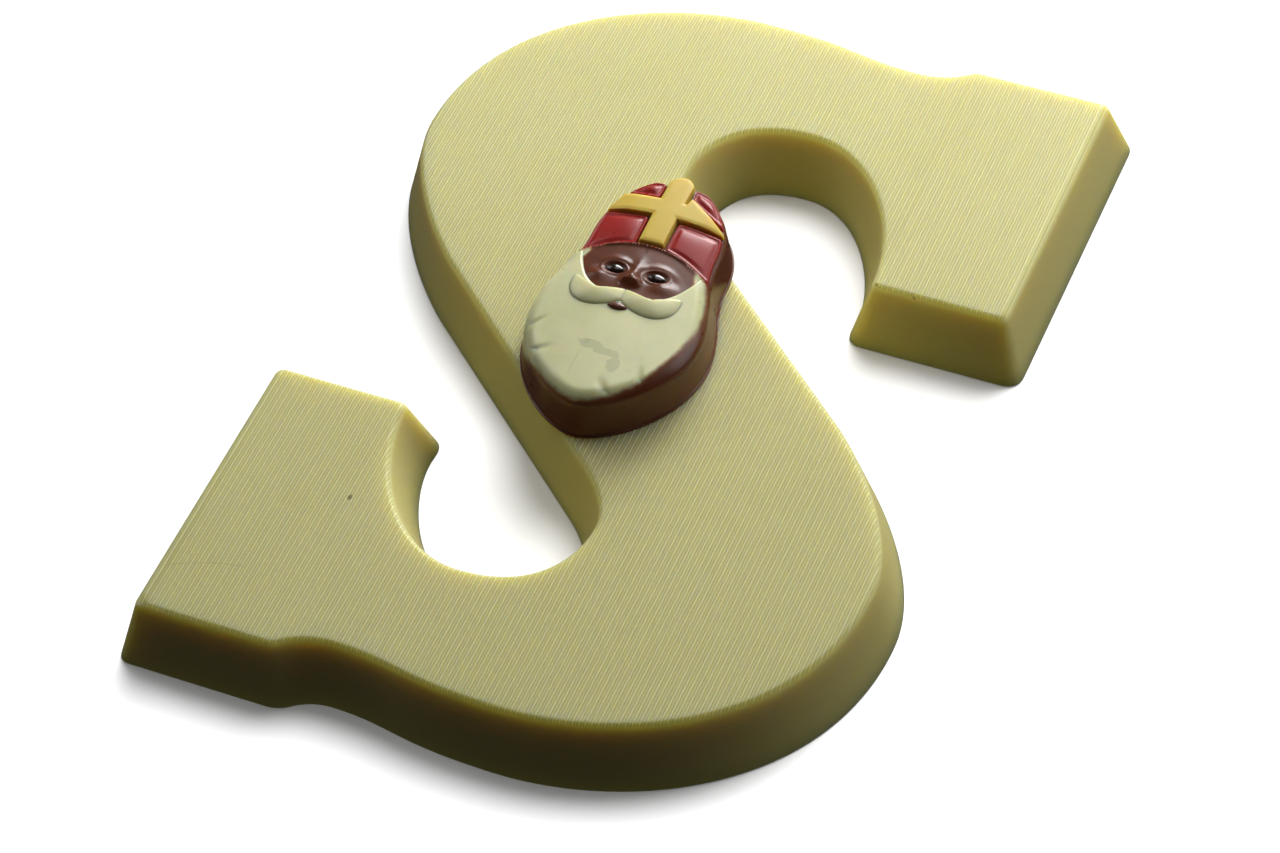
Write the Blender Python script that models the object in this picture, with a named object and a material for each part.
"""A white chocolate letter S with a ribbed top and a moulded bearded bishop's head lying on its middle.

Metres, +Z up. The origin is at the centre of the letter's flat base; +Y points to the top of the letter.
The letter turned by half a turn is itself, so only one half of its outline is drawn.
"""
import math

import bmesh
import bpy
import numpy as np

MM = 0.001

# The letter: sizes of its sharp top edge, before rounding.
LETTER_HEIGHT = 155.0 * MM
TERMINAL_X = 54.7 * MM
LETTER_THICKNESS = 12.9 * MM
WALL_DRAFT = 3.7 * MM
TOP_EDGE_RADIUS = 1.0 * MM
BASE_EDGE_RADIUS = 0.4 * MM
NOTCH_RADIUS = 13.8 * MM
DIAGONAL_ANGLE = math.radians(-40.45)
DIAGONAL_LENGTH = 50.0 * MM
INNER_CORNER_ANGLE = math.radians(84.9)

# Points of the half outline, each with the reach of its curve before and after it.
VALLEY = (21.5 * MM, 74.05 * MM)
BOWL_TOP = (-8.2 * MM, 76.8 * MM)
BOWL_SIDE = (-54.4 * MM, 36.0 * MM)
DIAGONAL_START = (-36.4 * MM, 5.2 * MM)
COUNTER_SIDE = (8.3 * MM, -37.9 * MM)
COUNTER_BOTTOM = (-9.0 * MM, -53.7 * MM)
TERMINAL_INNER = (-31.2 * MM, -25.0 * MM)
VALLEY_REACH = 11.3 * MM
BOWL_TOP_REACH = (17.5 * MM, 20.0 * MM)
BOWL_SIDE_REACH = (28.3 * MM, 12.4 * MM)
DIAGONAL_REACH = (6.5 * MM, 4.6 * MM)
COUNTER_SIDE_REACH = (3.5 * MM, 5.8 * MM)
COUNTER_BOTTOM_REACH = (14.1 * MM, 14.2 * MM)
TERMINAL_REACH = 9.8 * MM

# How far from each corner its rounding starts, at the top and at the base: outer, notch and two inner corners.
TOP_CORNERS = (0.9 * MM, 1.6 * MM, 0.9 * MM, 0.9 * MM)
BASE_CORNERS = (2.4 * MM, 3.0 * MM, 2.4 * MM, 2.4 * MM)
CURVE_POINTS = 72
CORNER_STEPS = 2

# The ribs: straight grooves along Y, one each millimetre.
RIB_PITCH = 1.0 * MM
GROOVE_TOP = 0.6 * MM
GROOVE_FLOOR = 0.3 * MM
GROOVE_DEPTH = 0.22 * MM
RIB_MARGIN = 1.7 * MM

# The head: its place on the letter, its outline at its base, and the seat of its coloured pieces.
GAP = 0.3 * MM
HEAD_CENTRE = (-3.0 * MM, 0.0)
HEAD_TILT = math.radians(1.2)
CHIN_Y = -22.6 * MM
WIDEST = (16.0 * MM, -3.0 * MM)
WAIST = (12.5 * MM, 14.5 * MM)
APEX_Y = 30.6 * MM
HEAD_DRAFT = 1.0 * MM
SEAT_HEIGHT = 6.0 * MM
SEAT_EDGE = 1.2 * MM

# The domed fronts: height of the middle, and fall for each square millimetre away from it.
CROWN_HEIGHT = 10.0 * MM
CROWN_FALL = 0.007 / MM
CROWN_LENGTH_RATIO = 2.2
CROWN_MIDDLE_Y = 4.0 * MM
MITRE_HEIGHT = 9.6 * MM
MITRE_FALL = 0.012 / MM
MITRE_LENGTH_RATIO = 1.7
MITRE_MIDDLE_Y = 17.0 * MM
FIELD_DEPTH = 0.8 * MM

# The mitre, in the head's own frame.
MITRE_RIM_MIDDLE = 13.2 * MM
MITRE_RIM_SIDE = 9.6 * MM
MITRE_SIDE = 11.0 * MM
CROSS_HALF_WIDTH = 2.5 * MM
CROSS_ARM = (19.5 * MM, 23.9 * MM)
CROSS_TOP = 29.8 * MM
CROSS_INSET = 1.0 * MM
FIELD_INSET = 1.5 * MM
FIELD_GAP = 0.6 * MM
FIELD_TOP = 27.8 * MM

# The face: a plain one by the rule of thirds from rim to nose, five eyes wide.
FACE_HALF_WIDTH = 9.4 * MM
FACE_TOP = MITRE_RIM_MIDDLE - 2 * GAP
NOSE_BASE = 3.2 * MM
FACE_THIRD = (FACE_TOP - NOSE_BASE) / 2
BROW_LINE = FACE_TOP - FACE_THIRD
EYE_LINE = BROW_LINE - FACE_THIRD / 4
EYE_WIDTH = FACE_HALF_WIDTH * 2 / 5
EYE_HEIGHT = EYE_WIDTH * 0.55
EYE_FLOOR = 8.3 * MM
EYE_FRONT = 9.3 * MM
LIP_WIDTH = EYE_WIDTH
LIP_HEIGHT = LIP_WIDTH * 0.42
LIP_LINE = NOSE_BASE - FACE_THIRD

# The moustache and beard.
MOUSTACHE_REACH = 8.7 * MM
BEARD_INSET = 0.4 * MM
BEARD_DEPTH = 0.4 * MM
TEMPLE_Y = 9.4 * MM
LOCK_DEPTH = 0.35 * MM

COLOURS = {
    "white_chocolate": ((0.66, 0.60, 0.32), 0.42),
    "milk_chocolate": ((0.11, 0.045, 0.022), 0.32),
    "ivory_chocolate": ((0.60, 0.59, 0.38), 0.38),
    "red_chocolate": ((0.24, 0.012, 0.012), 0.25),
    "yellow_chocolate": ((0.60, 0.40, 0.09), 0.35),
    "dark_chocolate": ((0.020, 0.008, 0.005), 0.18),
}


def clear_scene():
    """Remove every object of the scene that the file opened with."""
    for item in list(bpy.data.objects):
        bpy.data.objects.remove(item, do_unlink=True)


def chocolate(name):
    """Return the material of one kind of chocolate."""
    material = bpy.data.materials.get(name) or bpy.data.materials.new(name)
    material.use_nodes = True
    colour, roughness = COLOURS[name]
    shader = material.node_tree.nodes["Principled BSDF"]
    shader.inputs["Base Color"].default_value = (*colour, 1.0)
    shader.inputs["Roughness"].default_value = roughness
    shader.inputs["Metallic"].default_value = 0.0
    return material


def bezier(start, leave, arrive, end, count):
    """Return count points of a cubic curve, both ends included."""
    t = np.linspace(0.0, 1.0, count)[:, None]
    start, leave, arrive, end = (np.asarray(point, dtype=float) for point in (start, leave, arrive, end))
    return (1 - t)**3 * start + 3 * (1 - t)**2 * t * leave + 3 * (1 - t) * t**2 * arrive + t**3 * end


def unit(vector):
    """Return the vector at length one."""
    return vector / np.linalg.norm(vector)


def chain(pieces):
    """Join curves that start where the last one ends."""
    return np.vstack([pieces[0]] + [piece[1:] for piece in pieces[1:]])


def resample(points, head, tail, count):
    """Return count evenly spaced points of a path, from head after its start to tail before its end."""
    steps = np.linalg.norm(np.diff(points, axis=0), axis=1)
    length = np.concatenate(([0.0], np.cumsum(steps)))
    wanted = np.linspace(head, length[-1] - tail, count)
    return np.column_stack([np.interp(wanted, length, points[:, axis]) for axis in (0, 1)])


def offset_path(points, distance):
    """Move a path to its right-hand side, which is outward on a counterclockwise outline."""
    tangent = np.gradient(points, axis=0)
    tangent[0] = points[1] - points[0]
    tangent[-1] = points[-1] - points[-2]
    tangent /= np.linalg.norm(tangent, axis=1)[:, None]
    return points + distance * np.column_stack([tangent[:, 1], -tangent[:, 0]])


def crossing(point_a, along_a, point_b, along_b):
    """Return the point where two lines cross."""
    step, _ = np.linalg.solve(np.column_stack([along_a, -along_b]), point_b - point_a)
    return point_a + step * along_a


def half_outline():
    """Return the four pieces of half the letter's top outline, from its outer corner to the opposite one."""
    left, down = np.array([-1.0, 0.0]), np.array([0.0, -1.0])
    corner = np.array([TERMINAL_X, LETTER_HEIGHT / 2])
    valley, bowl_top, bowl_side = np.array(VALLEY), np.array(BOWL_TOP), np.array(BOWL_SIDE)
    diagonal_start, counter_side = np.array(DIAGONAL_START), np.array(COUNTER_SIDE)
    counter_bottom, inner = np.array(COUNTER_BOTTOM), np.array(TERMINAL_INNER)

    centre = valley + np.array([0.0, NOTCH_RADIUS])
    rise = centre[1] - corner[1]
    notch_start = np.array([centre[0] + math.sqrt(NOTCH_RADIUS**2 - rise**2), corner[1]])
    angles = np.linspace(-math.asin(rise / NOTCH_RADIUS), -math.pi / 2, 8)
    notch = centre + NOTCH_RADIUS * np.column_stack([np.cos(angles), np.sin(angles)])

    along = np.array([math.cos(DIAGONAL_ANGLE), math.sin(DIAGONAL_ANGLE)])
    diagonal_end = diagonal_start + along * DIAGONAL_LENGTH
    inward = np.array([math.cos(INNER_CORNER_ANGLE), math.sin(INNER_CORNER_ANGLE)])
    dense = 20
    spine = chain([
        notch,
        bezier(valley, valley + left * VALLEY_REACH, bowl_top - left * BOWL_TOP_REACH[0], bowl_top, dense),
        bezier(bowl_top, bowl_top + left * BOWL_TOP_REACH[1], bowl_side - down * BOWL_SIDE_REACH[0], bowl_side, dense),
        bezier(bowl_side, bowl_side + down * BOWL_SIDE_REACH[1], diagonal_start - along * DIAGONAL_REACH[0],
               diagonal_start, dense),
        np.linspace(diagonal_start, diagonal_end, 4),
        bezier(diagonal_end, diagonal_end + along * DIAGONAL_REACH[1], counter_side - down * COUNTER_SIDE_REACH[0],
               counter_side, dense),
        bezier(counter_side, counter_side + down * COUNTER_SIDE_REACH[1],
               counter_bottom - left * COUNTER_BOTTOM_REACH[0], counter_bottom, dense),
        bezier(counter_bottom, counter_bottom + left * COUNTER_BOTTOM_REACH[1], inner - inward * TERMINAL_REACH,
               inner, dense),
    ])
    terminal_end = np.array([-TERMINAL_X, inner[1]])
    return [np.array([corner, notch_start]), spine, np.array([inner, terminal_end]), np.array([terminal_end, -corner])]


def letter_ring(offset, corners):
    """Return the letter's outline moved outward by offset, its four kinds of corner rounded."""
    half = half_outline()
    pieces = [offset_path(piece, offset) for piece in half + [-piece for piece in half]]
    total = len(pieces)
    meets = []
    for index, piece in enumerate(pieces):
        after = pieces[(index + 1) % total]
        meets.append(crossing(piece[-1], unit(piece[-1] - piece[-2]), after[0], unit(after[1] - after[0])))

    runs = []
    for index, piece in enumerate(pieces):
        before, after = meets[index - 1], meets[index]
        straight = len(piece) == 2
        if straight:
            whole = np.array([before, after])
        else:
            overlap_head = max((before - piece[0]) @ unit(piece[1] - piece[0]), 0.0)
            overlap_tail = max((piece[-1] - after) @ unit(piece[-1] - piece[-2]), 0.0)
            whole = np.vstack([before, resample(piece, overlap_head, overlap_tail, 240), after])
        count = 2 if straight else CURVE_POINTS
        runs.append(resample(whole, corners[(index - 1) % 4], corners[index % 4], count))

    t = np.linspace(0.0, 1.0, CORNER_STEPS + 2)[1:-1, None]
    ring = []
    for index, run in enumerate(runs):
        start, middle, end = run[-1], meets[index], runs[(index + 1) % total][0]
        ring.append(run)
        ring.append((1 - t)**2 * start + 2 * (1 - t) * t * middle + t**2 * end)
    return np.vstack(ring)


def letter_levels():
    """Return the rings of the letter's wall and rounded top edge as (offset, height, corners)."""
    slope = math.atan2(WALL_DRAFT, LETTER_THICKNESS)
    levels = [(WALL_DRAFT - BASE_EDGE_RADIUS, 0.0, BASE_CORNERS)]
    height = BASE_EDGE_RADIUS
    levels.append((WALL_DRAFT * (1 - height / LETTER_THICKNESS), height, BASE_CORNERS))
    inset = TOP_EDGE_RADIUS * math.tan(math.pi / 4 - slope / 2)
    for angle in np.linspace(slope, math.pi / 2, 3):
        offset = -inset + TOP_EDGE_RADIUS * math.cos(angle)
        height = LETTER_THICKNESS - TOP_EDGE_RADIUS * (1 - math.sin(angle))
        levels.append((offset, height, TOP_CORNERS))
    return levels


def new_object(name, mesh_data, material_name):
    """Turn a bmesh into a named object with its own material."""
    bmesh.ops.remove_doubles(mesh_data, verts=mesh_data.verts, dist=1e-7)
    bmesh.ops.recalc_face_normals(mesh_data, faces=mesh_data.faces)
    mesh = bpy.data.meshes.new(name)
    mesh_data.to_mesh(mesh)
    mesh_data.free()
    item = bpy.data.objects.new(name, mesh)
    bpy.context.scene.collection.objects.link(item)
    if material_name:
        mesh.materials.append(chocolate(material_name))
    return item


def stack_rings(mesh_data, rings, tip=None):
    """Build a closed body from rings of equal count, capped below, and above by a cap or a tip."""
    rows = [[mesh_data.verts.new(point) for point in ring] for ring in rings]
    count = len(rows[0])
    for lower, upper in zip(rows, rows[1:]):
        for index in range(count):
            after = (index + 1) % count
            mesh_data.faces.new((lower[index], lower[after], upper[after], upper[index]))
    mesh_data.faces.new(list(reversed(rows[0])))
    if tip is None:
        mesh_data.faces.new(rows[-1])
    else:
        peak = mesh_data.verts.new(tip)
        for index in range(count):
            mesh_data.faces.new((rows[-1][index], rows[-1][(index + 1) % count], peak))


def subtract(item, cutter):
    """Cut one object with another that is left out of the part."""
    cutter.hide_render = True
    cutter.display_type = "WIRE"
    modifier = item.modifiers.new(f"cut_{cutter.name}", "BOOLEAN")
    modifier.operation = "DIFFERENCE"
    modifier.solver = "EXACT"
    modifier.object = cutter


def fuse(item, other):
    """Join another body to an object; the other body is a helper and left out of the part."""
    other.hide_render = True
    other.display_type = "WIRE"
    modifier = item.modifiers.new(f"fuse_{other.name}", "BOOLEAN")
    modifier.operation = "UNION"
    modifier.solver = "EXACT"
    modifier.object = other


def smooth(item, angle=35.0):
    """Shade the rounded faces of an object smooth, and keep its edges sharp."""
    item.data.shade_smooth()
    item.data.set_sharp_from_angle(angle=math.radians(angle))


def make_letter():
    """Make the letter's slab and cut the grooves between its ribs."""
    shape = bmesh.new()
    rings = []
    for offset, height, corners in letter_levels():
        rings.append([(x, y, height) for x, y in letter_ring(offset, corners)])
    stack_rings(shape, rings)
    letter = new_object("letter", shape, "white_chocolate")
    smooth(letter)

    comb = bmesh.new()
    reach = LETTER_HEIGHT / 2 + WALL_DRAFT
    floor = LETTER_THICKNESS - GROOVE_DEPTH
    above = LETTER_THICKNESS + GROOVE_DEPTH
    widen = (GROOVE_TOP - GROOVE_FLOOR) / 2
    count = int((TERMINAL_X - RIB_MARGIN) / RIB_PITCH)
    for index in range(-count, count + 1):
        x = index * RIB_PITCH
        section = [(x - GROOVE_FLOOR / 2, floor), (x + GROOVE_FLOOR / 2, floor),
                   (x + GROOVE_FLOOR / 2 + 2 * widen, above), (x - GROOVE_FLOOR / 2 - 2 * widen, above)]
        stack_rings(comb, [[(px, y, pz) for px, pz in section] for y in (reach, -reach)])
    subtract(letter, new_object("rib_grooves", comb, None))
    return letter


def mirror_outline(outline):
    """Return an outline on the other side of the figure, still counterclockwise."""
    return np.asarray(outline)[::-1] * np.array([-1.0, 1.0])


def grown(outline, distance):
    """Return a closed outline grown outward by a distance."""
    outline = np.asarray(outline)
    tangent = np.roll(outline, -1, axis=0) - np.roll(outline, 1, axis=0)
    tangent /= np.linalg.norm(tangent, axis=1)[:, None]
    return outline + distance * np.column_stack([tangent[:, 1], -tangent[:, 0]])


def row(start, end, count):
    """Return evenly spaced points of a straight line, without its last one."""
    return np.linspace(start, end, count + 1)[:-1]


def head_half_outline(count=12):
    """Return the right-hand half of the head's base outline, from chin to apex, in the head's own frame."""
    chin, apex = np.array([0.0, CHIN_Y]), np.array([0.0, APEX_Y])
    widest, waist = np.array(WIDEST), np.array(WAIST)
    up = np.array([0.0, MM])
    return chain([
        bezier(chin, chin + np.array([6.5, 1.4]) * MM, widest - up * 10.5, widest, count),
        bezier(widest, widest + up * 7.0, waist - up * 6.0, waist, count // 2 + 1),
        bezier(waist, waist + up * 8.0, apex + np.array([9.5, -3.5]) * MM, apex, count),
    ])


def head_ring(inset):
    """Return the head's outline, counterclockwise from the chin, moved inward."""
    right = head_half_outline()
    return grown(np.vstack([right, mirror_outline(right)[1:-1]]), -inset)


def arch_x(y, inset):
    """Return the mitre's half width at a height of the head's frame, inset from the base outline."""
    side = head_half_outline(24)
    upper = side[side[:, 1] > WIDEST[1]]
    return float(np.interp(y, upper[:, 1], upper[:, 0])) - inset


def crown(point):
    """Return the height of the head's gently domed front at a point of its frame."""
    x, y = point[0], (point[1] - CROWN_MIDDLE_Y) / CROWN_LENGTH_RATIO
    return CROWN_HEIGHT - CROWN_FALL * (x * x + y * y)


def mitre_crown(point):
    """Return the height of the cross on the mitre's more rounded front."""
    x, y = point[0], (point[1] - MITRE_MIDDLE_Y) / MITRE_LENGTH_RATIO
    return MITRE_HEIGHT - MITRE_FALL * (x * x + y * y)


def field_surface(point):
    """Return the height of the mitre's red fields."""
    return mitre_crown(point) - FIELD_DEPTH


def beard_surface(point):
    """Return the height of the beard."""
    return crown(point) - BEARD_DEPTH


def moustache_surface(point):
    """Return the height of the moustache, fullest in the middle of each half."""
    away = abs(point[0]) - MOUSTACHE_REACH * 0.4
    return crown(point) + 0.7 * MM - 0.006 / MM * away * away


def bump(point, centre, radii, height):
    """Return the height that a soft round bump adds at a point; all lengths in millimetres."""
    x = (abs(point[0]) / MM - centre[0]) / radii[0]
    y = (point[1] / MM - centre[1]) / radii[1]
    return height * MM * math.exp(-(x * x + y * y))


def face_surface(point):
    """Return the height of the face: a calm one of plain proportions, its nose one eye wide."""
    eye, line, brow, nose = EYE_WIDTH / MM, EYE_LINE / MM, BROW_LINE / MM, NOSE_BASE / MM
    height = crown(point) - 0.9 * MM
    height += bump(point, (0.0, nose + 1.6), (eye * 0.42, 1.5), 1.3)
    height += bump(point, (0.0, (brow + nose) / 2 + 1.0), (1.0, 2.4), 0.7)
    height += bump(point, (eye * 0.4, nose + 1.0), (0.8, 0.8), 0.5)
    height += bump(point, (eye, brow + 0.6), (2.8, 0.9), 0.5)
    height -= bump(point, (eye, line), (2.2, 1.3), 0.5)
    height += bump(point, (eye * 1.6, nose + 1.2), (2.2, 1.4), 0.5)
    return height


def mitre_rim(x):
    """Return how far up the mitre's lower rim stands at a distance from the middle."""
    return MITRE_RIM_MIDDLE - (MITRE_RIM_MIDDLE - MITRE_RIM_SIDE) * (x / MITRE_SIDE)**2


def almond(centre, width, height, count=8):
    """Return an almond-shaped outline, counterclockwise."""
    half, rise = width / 2, height * 0.675
    lower = bezier((-half, 0.0), (-half / 2, -rise), (half / 2, -rise), (half, 0.0), count)
    return np.vstack([lower[:-1], -lower[:-1]]) + np.array(centre)


def face_outline():
    """Return the outline of the face between the mitre's rim, the beard and the moustache."""
    side, cheek = FACE_HALF_WIDTH, FACE_HALF_WIDTH * 0.68
    top = np.array([(x, mitre_rim(x) - 2 * GAP) for x in np.linspace(side, -side, 11)])
    left = bezier(top[-1], (-side, 7.0 * MM), (-side * 0.8, 4.0 * MM), (-cheek, NOSE_BASE), 6)
    bottom = bezier((-cheek, NOSE_BASE), (-cheek / 2, NOSE_BASE - GAP), (cheek / 2, NOSE_BASE - GAP),
                    (cheek, NOSE_BASE), 8)
    return np.vstack([top, left[1:], bottom[1:-1], mirror_outline(left)[:-1]])


def lobe_outline():
    """Return the outline of the right half of the moustache, a little past the middle."""
    tip, root = (MOUSTACHE_REACH, 1.6 * MM), (-GAP, 2.0 * MM)
    upper = bezier(tip, (6.6 * MM, 3.1 * MM), (2.4 * MM, 3.2 * MM), root, 9)
    lower = bezier((-GAP, -0.4 * MM), (2.4 * MM, -3.6 * MM), (7.2 * MM, -2.8 * MM),
                   (MOUSTACHE_REACH, 1.2 * MM), 9)
    return np.vstack([upper, lower])


def beard_outline():
    """Return the beard's outer edge: level at the temples, shallow locks along its lower edge."""
    loop = head_ring(HEAD_DRAFT + BEARD_INSET)
    lower = loop[loop[:, 1] < TEMPLE_Y]
    around = np.arctan2(lower[:, 0], TEMPLE_Y - lower[:, 1])
    lower = lower[np.argsort(around)]
    turn = np.arctan2(lower[:, 0], -lower[:, 1])
    lock = 1 + LOCK_DEPTH / abs(CHIN_Y) * np.maximum(np.cos(turn), 0.0) * np.cos(turn * 9)
    return lower * lock[:, None]


def lower_field():
    """Return the outline of the red field beside the cross's foot, on the right."""
    inner, top = CROSS_HALF_WIDTH + FIELD_GAP, CROSS_ARM[0] - FIELD_GAP
    outer_low = (arch_x(MITRE_RIM_SIDE, FIELD_INSET), MITRE_RIM_SIDE)
    rim = [(x, mitre_rim(x) + FIELD_GAP / 2) for x in row(inner, outer_low[0], 6)]
    side = [(arch_x(y, FIELD_INSET), y) for y in row(outer_low[1], top, 5)]
    head = row((arch_x(top, FIELD_INSET), top), (inner, top), 4)
    flank = row((inner, top), rim[0], 3)
    return np.vstack([rim, side, head, flank])


def upper_field():
    """Return the outline of the small red field above the cross's arm, on the right."""
    inner, low = CROSS_HALF_WIDTH + FIELD_GAP, CROSS_ARM[1] + FIELD_GAP
    base = row((inner, low), (arch_x(low, FIELD_INSET), low), 4)
    arch = [(max(arch_x(y, FIELD_INSET), inner), y) for y in row(low, FIELD_TOP, 5)]
    flank = row((inner, FIELD_TOP), (inner, low), 3)
    return np.vstack([base, arch, flank])


def cross_outline():
    """Return the outline of the cross, its arms as wide as the mitre and its head rounded."""
    half, (low, high) = CROSS_HALF_WIDTH, CROSS_ARM
    foot = mitre_rim(half) + FIELD_GAP / 2
    low_end, high_end = (arch_x(y, CROSS_INSET) for y in (low, high))
    head_rise = half * 0.8
    angles = np.linspace(0.0, math.pi / 2, 4)
    head = [(half * math.cos(angle), CROSS_TOP - head_rise * (1 - math.sin(angle))) for angle in angles]
    right = np.vstack([
        row((0.0, foot), (half, foot), 1),
        row((half, foot), (half, low), 2),
        row((half, low), (low_end, low), 4),
        [(arch_x(y, CROSS_INSET), y) for y in row(low, high, 3)],
        row((high_end, high), (half, high), 4),
        row((half, high), head[0], 2),
        head,
    ])
    return np.vstack([right, mirror_outline(right)[1:-1]])


def ring_at(outline, height):
    """Lift an outline to one height."""
    return [(x, y, height) for x, y in outline]


def plate(name, outline, floor, surface, edge, material_name, inner_rings=3):
    """Make a plate with a flat back and a rounded edge, whose front follows a surface."""
    centre = outline.mean(axis=0)
    size = np.linalg.norm(outline - centre, axis=1).mean()
    rings = [ring_at(outline, floor)]
    for angle in np.linspace(0.0, math.pi / 2, 3):
        loop = centre + (outline - centre) * (1 - edge * (1 - math.cos(angle)) / size)
        rings.append([(*point, surface(point) - edge * (1 - math.sin(angle))) for point in loop])
    for share in np.linspace(1 - edge / size, 0.0, inner_rings + 2)[1:-1]:
        loop = centre + (outline - centre) * share
        rings.append([(*point, surface(point)) for point in loop])
    shape = bmesh.new()
    stack_rings(shape, rings, tip=(*centre, surface(centre)))
    item = new_object(name, shape, material_name)
    smooth(item)
    set_on_letter(item)
    return item


def prism(name, outline, low, high):
    """Make an upright helper body from an outline."""
    shape = bmesh.new()
    stack_rings(shape, [ring_at(outline, low), ring_at(outline, high)])
    item = new_object(name, shape, None)
    set_on_letter(item)
    return item


def set_on_letter(item):
    """Lay a piece of the head on the letter's top."""
    item.location = (*HEAD_CENTRE, LETTER_THICKNESS)
    item.rotation_euler = (0.0, 0.0, HEAD_TILT)


def make_body():
    """Make the milk chocolate body of the head: its base, its flat seat, its face and its lower lip."""
    rings = [ring_at(head_ring(0.0), GAP)]
    for angle in np.linspace(0.0, math.pi / 2, 3):
        inset = HEAD_DRAFT + SEAT_EDGE * (1 - math.cos(angle))
        rings.append(ring_at(head_ring(inset), SEAT_HEIGHT - SEAT_EDGE * (1 - math.sin(angle))))
    shape = bmesh.new()
    stack_rings(shape, rings)
    body = new_object("figure_body", shape, "milk_chocolate")
    smooth(body)
    set_on_letter(body)
    root = SEAT_HEIGHT - MM
    fuse(body, plate("face_relief", face_outline(), root, face_surface, 0.5 * MM, None, 9))
    fuse(body, plate("lip_relief", lip_outline(), root, beard_surface, 0.4 * MM, None, 2))
    return body


def make_eyes(body):
    """Make the dark eyes, each in a flat socket of the face."""
    for side, name in ((-1, "left"), (1, "right")):
        outline = almond((side * EYE_WIDTH, EYE_LINE), EYE_WIDTH, EYE_HEIGHT)
        subtract(body, prism(f"eye_socket_{name}", grown(outline, GAP), EYE_FLOOR, CROWN_HEIGHT + MM))
        plate(f"figure_eye_{name}", outline, EYE_FLOOR + GAP, lambda point: EYE_FRONT, GAP, "dark_chocolate", 1)


def lip_outline():
    """Return the outline of the lower lip that shows under the moustache."""
    return almond((0.0, LIP_LINE), LIP_WIDTH, LIP_HEIGHT)


def make_beard():
    """Make the beard, open round the face and the lip, with the two halves of its moustache."""
    floor = SEAT_HEIGHT + GAP
    beard = plate("figure_beard", beard_outline(), floor, beard_surface, 1.4 * MM, "ivory_chocolate", 4)
    subtract(beard, prism("face_opening", grown(face_outline(), GAP), SEAT_HEIGHT, CROWN_HEIGHT + MM))
    for side, outline in (("right", lobe_outline()), ("left", mirror_outline(lobe_outline()))):
        fuse(beard, plate(f"moustache_{side}", outline, floor + GAP, moustache_surface, 0.9 * MM, None, 2))
    subtract(beard, prism("lip_opening", grown(lip_outline(), GAP), SEAT_HEIGHT, CROWN_HEIGHT + 2 * MM))


def make_mitre():
    """Make the mitre's four red fields and its yellow cross."""
    floor = SEAT_HEIGHT + GAP
    for level, outline in (("lower", lower_field()), ("upper", upper_field())):
        for side, loop in (("right", outline), ("left", mirror_outline(outline))):
            plate(f"mitre_{level}_{side}", loop, floor, field_surface, 0.5 * MM, "red_chocolate", 2)
    plate("mitre_cross", cross_outline(), floor, mitre_crown, 0.5 * MM, "yellow_chocolate")


def main():
    """Build the letter and the head that lies on it."""
    clear_scene()
    make_letter()
    make_eyes(make_body())
    make_beard()
    make_mitre()


main()
